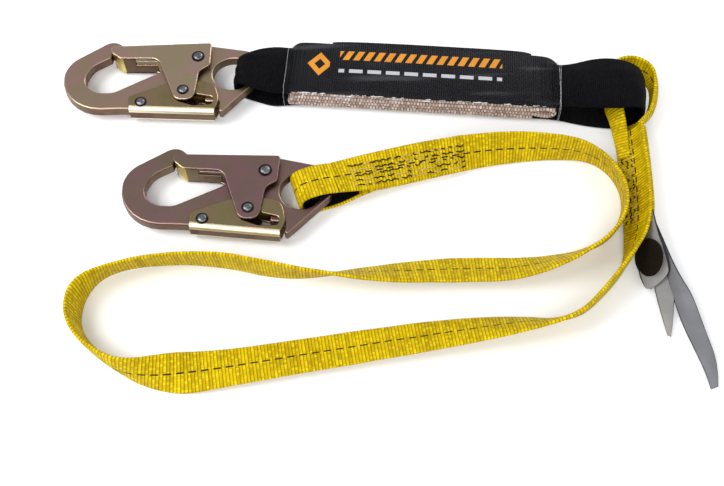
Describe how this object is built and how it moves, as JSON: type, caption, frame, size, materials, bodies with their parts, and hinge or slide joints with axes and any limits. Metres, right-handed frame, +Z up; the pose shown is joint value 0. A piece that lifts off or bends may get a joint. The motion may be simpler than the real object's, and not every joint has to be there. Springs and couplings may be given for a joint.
{
  "type": "shock absorbing lanyard",
  "caption": "Fall-arrest lanyard lying slack: a tear-web energy absorber with a locking snap hook in its front loop and a flat web leg running to a matching snap hook.",
  "frame": {"origin": "on the table, under the middle of the hooks and the absorber pack", "axes": "+Z up; +X from the hooks' noses to the absorber's rear end; -Y towards the loose web leg"},
  "size_m": [0.4254, 0.2677, 0.0277],
  "materials": {
    "plated_steel": "yellow zinc plating, satin",
    "bright_zinc": "bright zinc",
    "spring_wire": "bare spring wire",
    "clear_film": "clear shrink film, glossy",
    "tan_web": "woven polyester",
    "black_web": "woven polyester",
    "label_panel": "printed vinyl, glossy",
    "yellow_web": "woven polyester with a black tracer",
    "dark_thread": "bonded thread",
    "label_vinyl": "vinyl-coated pages"
  },
  "bodies": {
    "webbing": {"absorber_film": "clear_film", "absorber_tear_web": "tan_web", "absorber_backup_strap": "black_web", "absorber_label_panel": "label_panel", "front_loop": "black_web", "rear_loop": "black_web", "front_bar_tacks": "dark_thread", "rear_bar_tacks": "dark_thread", "lanyard_web": "yellow_web", "anchor_eye": "yellow_web", "anchor_wear_pad": "black_web", "anchor_eye_stitching": "dark_thread", "absorber_end_eye": "yellow_web", "absorber_end_stitching": "dark_thread", "label_cover": "label_vinyl", "label_page_short": "label_vinyl", "label_page_long": "label_vinyl", "label_closure": "black_web"},
    "harness_hook": {"harness_hook_body": "plated_steel", "harness_gate_pivot_rivet": "bright_zinc", "harness_lever_pivot_rivet": "bright_zinc", "harness_gate_spring": "spring_wire", "harness_lever_spring": "spring_wire"},
    "harness_gate_set": {"harness_gate": "plated_steel", "harness_lock_pin_rivet": "bright_zinc"},
    "harness_lever_set": {"harness_lock_lever": "plated_steel"},
    "anchor_hook": {"anchor_hook_body": "plated_steel", "anchor_gate_pivot_rivet": "bright_zinc", "anchor_lever_pivot_rivet": "bright_zinc", "anchor_gate_spring": "spring_wire", "anchor_lever_spring": "spring_wire"},
    "anchor_gate_set": {"anchor_gate": "plated_steel", "anchor_lock_pin_rivet": "bright_zinc"},
    "anchor_lever_set": {"anchor_lock_lever": "plated_steel"}
  },
  "joints": [
    {"name": "harness_hook_swing", "type": "hinge", "parent": "webbing", "child": "harness_hook", "pos_m": [-0.0669, 0.0551, 0.0102], "axis": [0.0732, 0.9973, 0], "range_deg": [0, 12]},
    {"name": "harness_gate_hinge", "type": "hinge", "parent": "harness_hook", "child": "harness_gate_set", "pos_m": [-0.1086, 0.0655, 0.0102], "axis": [0, 0, 1], "range_deg": [0, 18], "stiffness_Nm_per_rad": 0.4, "springref_deg": -34.38, "deforming": ["harness_gate_spring"]},
    {"name": "harness_lever_hinge", "type": "hinge", "parent": "harness_hook", "child": "harness_lever_set", "pos_m": [-0.1459, 0.0268, 0.0102], "axis": [0, 0, 1], "range_deg": [0, 9], "stiffness_Nm_per_rad": 0.1, "springref_deg": -28.65, "deforming": ["harness_lever_spring"]},
    {"name": "anchor_hook_swing", "type": "hinge", "parent": "webbing", "child": "anchor_hook", "pos_m": [-0.0161, -0.0398, 0.0102], "axis": [-0.309, 0.9511, 0], "range_deg": [0, 12]},
    {"name": "anchor_gate_hinge", "type": "hinge", "parent": "anchor_hook", "child": "anchor_gate_set", "pos_m": [-0.0564, -0.0318, 0.0102], "axis": [0, 0, 1], "range_deg": [0, 18], "stiffness_Nm_per_rad": 0.4, "springref_deg": -34.38, "deforming": ["anchor_gate_spring"]},
    {"name": "anchor_lever_hinge", "type": "hinge", "parent": "anchor_hook", "child": "anchor_lever_set", "pos_m": [-0.09606, -0.06808, 0.0102], "axis": [0, 0, 1], "range_deg": [0, 9], "stiffness_Nm_per_rad": 0.1, "springref_deg": -28.65, "deforming": ["anchor_lever_spring"]}
  ],
  "couplings": [
    {"joint": "harness_lever_hinge", "follows": "harness_gate_hinge", "ratio": 0.5},
    {"joint": "anchor_lever_hinge", "follows": "anchor_gate_hinge", "ratio": 0.5}
  ]
}
